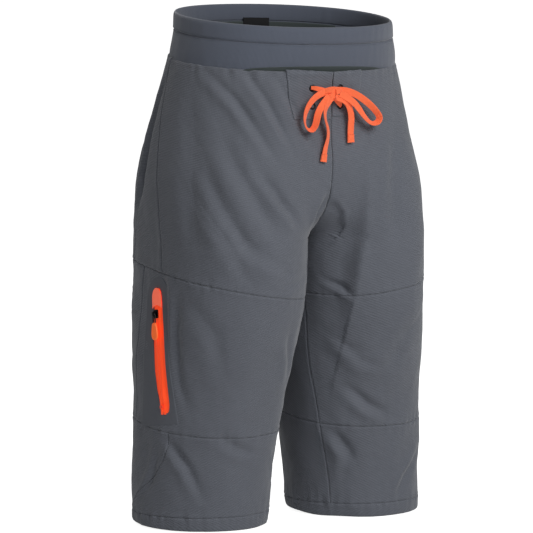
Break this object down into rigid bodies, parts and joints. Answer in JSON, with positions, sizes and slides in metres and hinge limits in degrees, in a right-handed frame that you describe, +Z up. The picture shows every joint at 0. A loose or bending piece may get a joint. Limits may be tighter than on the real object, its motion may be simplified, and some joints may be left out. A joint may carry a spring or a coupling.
{
  "type": "padded impact shorts",
  "caption": "Knee-length padded shorts: woven outer shell with knit waistband, laced fly, zipped thigh pocket, mesh liner and foam pads.",
  "frame": {"origin": "middle of the garment's box, on the level of the two hems", "axes": "+Z up to the waist, -Y the front, +X the wearer's left"},
  "size_m": [0.418, 0.2757, 0.6812],
  "materials": {
    "shell_cloth": "grey woven twill, matt",
    "patch_cloth": "grey woven twill reinforcement",
    "bonded_cloth": "grey cloth bonded under heat",
    "mesh_cloth": "dark open mesh",
    "pad_foam": "cloth covered foam",
    "knit_band": "slate rib knit",
    "elastic": "woven elastic",
    "facing_cloth": "dark woven facing",
    "label_satin": "black satin, blank",
    "hook_and_loop": "black hook and loop tape",
    "eyelet_metal": "black lacquer",
    "lace_tape": "orange flat woven tape",
    "zip_tape_coated": "orange coated zip tape",
    "zip_coil": "orange moulded coil",
    "zip_garage_film": "orange moulded film",
    "slider_black": "black lacquer",
    "pull_cord": "black braided cord",
    "pull_tab_rubber": "orange moulded rubber"
  },
  "bodies": {
    "shorts": {"cuff_back_left": "shell_cloth", "cuff_back_right": "shell_cloth", "cuff_front_left": "shell_cloth", "cuff_front_right": "shell_cloth", "eyelet_patch_left": "patch_cloth", "eyelet_patch_right": "patch_cloth", "eyelets": "eyelet_metal", "fly_facing_left": "shell_cloth", "fly_facing_right": "shell_cloth", "fly_hook_tape": "hook_and_loop", "fly_loop_tape": "hook_and_loop", "fly_under_flap": "shell_cloth", "hem_left": "shell_cloth", "hem_right": "shell_cloth", "hip_pad_left": "pad_foam", "hip_pad_right": "pad_foam", "lace_crossings": "lace_tape", "lace_end_tabs": "lace_tape", "lace_knot": "lace_tape", "lace_loop_left": "lace_tape", "lace_loop_right": "lace_tape", "lace_tail_left": "lace_tape", "lace_tail_right": "lace_tape", "liner_left": "mesh_cloth", "liner_right": "mesh_cloth", "pocket_bag": "mesh_cloth", "seat_back_left": "shell_cloth", "seat_back_right": "shell_cloth", "seat_front_left": "shell_cloth", "seat_front_right": "shell_cloth", "side_wedge_left": "shell_cloth", "side_wedge_right": "shell_cloth", "size_label": "label_satin", "tailbone_pad": "pad_foam", "thigh_back_left": "shell_cloth", "thigh_back_right": "shell_cloth", "thigh_front_left": "shell_cloth", "thigh_front_right": "shell_cloth", "thigh_pad_left": "pad_foam", "thigh_pad_right": "pad_foam", "waist_back_facing": "facing_cloth", "waist_casing": "knit_band", "waist_elastic": "elastic", "waist_knit_band": "knit_band", "zip_bottom_stop": "zip_coil", "zip_coils": "zip_coil", "zip_garage": "zip_garage_film", "zip_surround": "bonded_cloth", "zip_tape_back": "zip_tape_coated", "zip_tape_front": "zip_tape_coated"},
    "slider": {"zip_slider": "slider_black"},
    "pull": {"pull_loop": "pull_cord", "pull_tab": "pull_tab_rubber"}
  },
  "joints": [
    {"name": "zip_travel", "type": "slide", "parent": "shorts", "child": "slider", "axis": [-0.0244, -0.1465, -0.9889], "range_m": [0, 0.108]},
    {"name": "pull_swing", "type": "hinge", "parent": "slider", "child": "pull", "pos_m": [-0.20088, -0.01129, 0.28166], "axis": [-0.0918, 0.9854, -0.1437], "range_deg": [0, 150]}
  ]
}
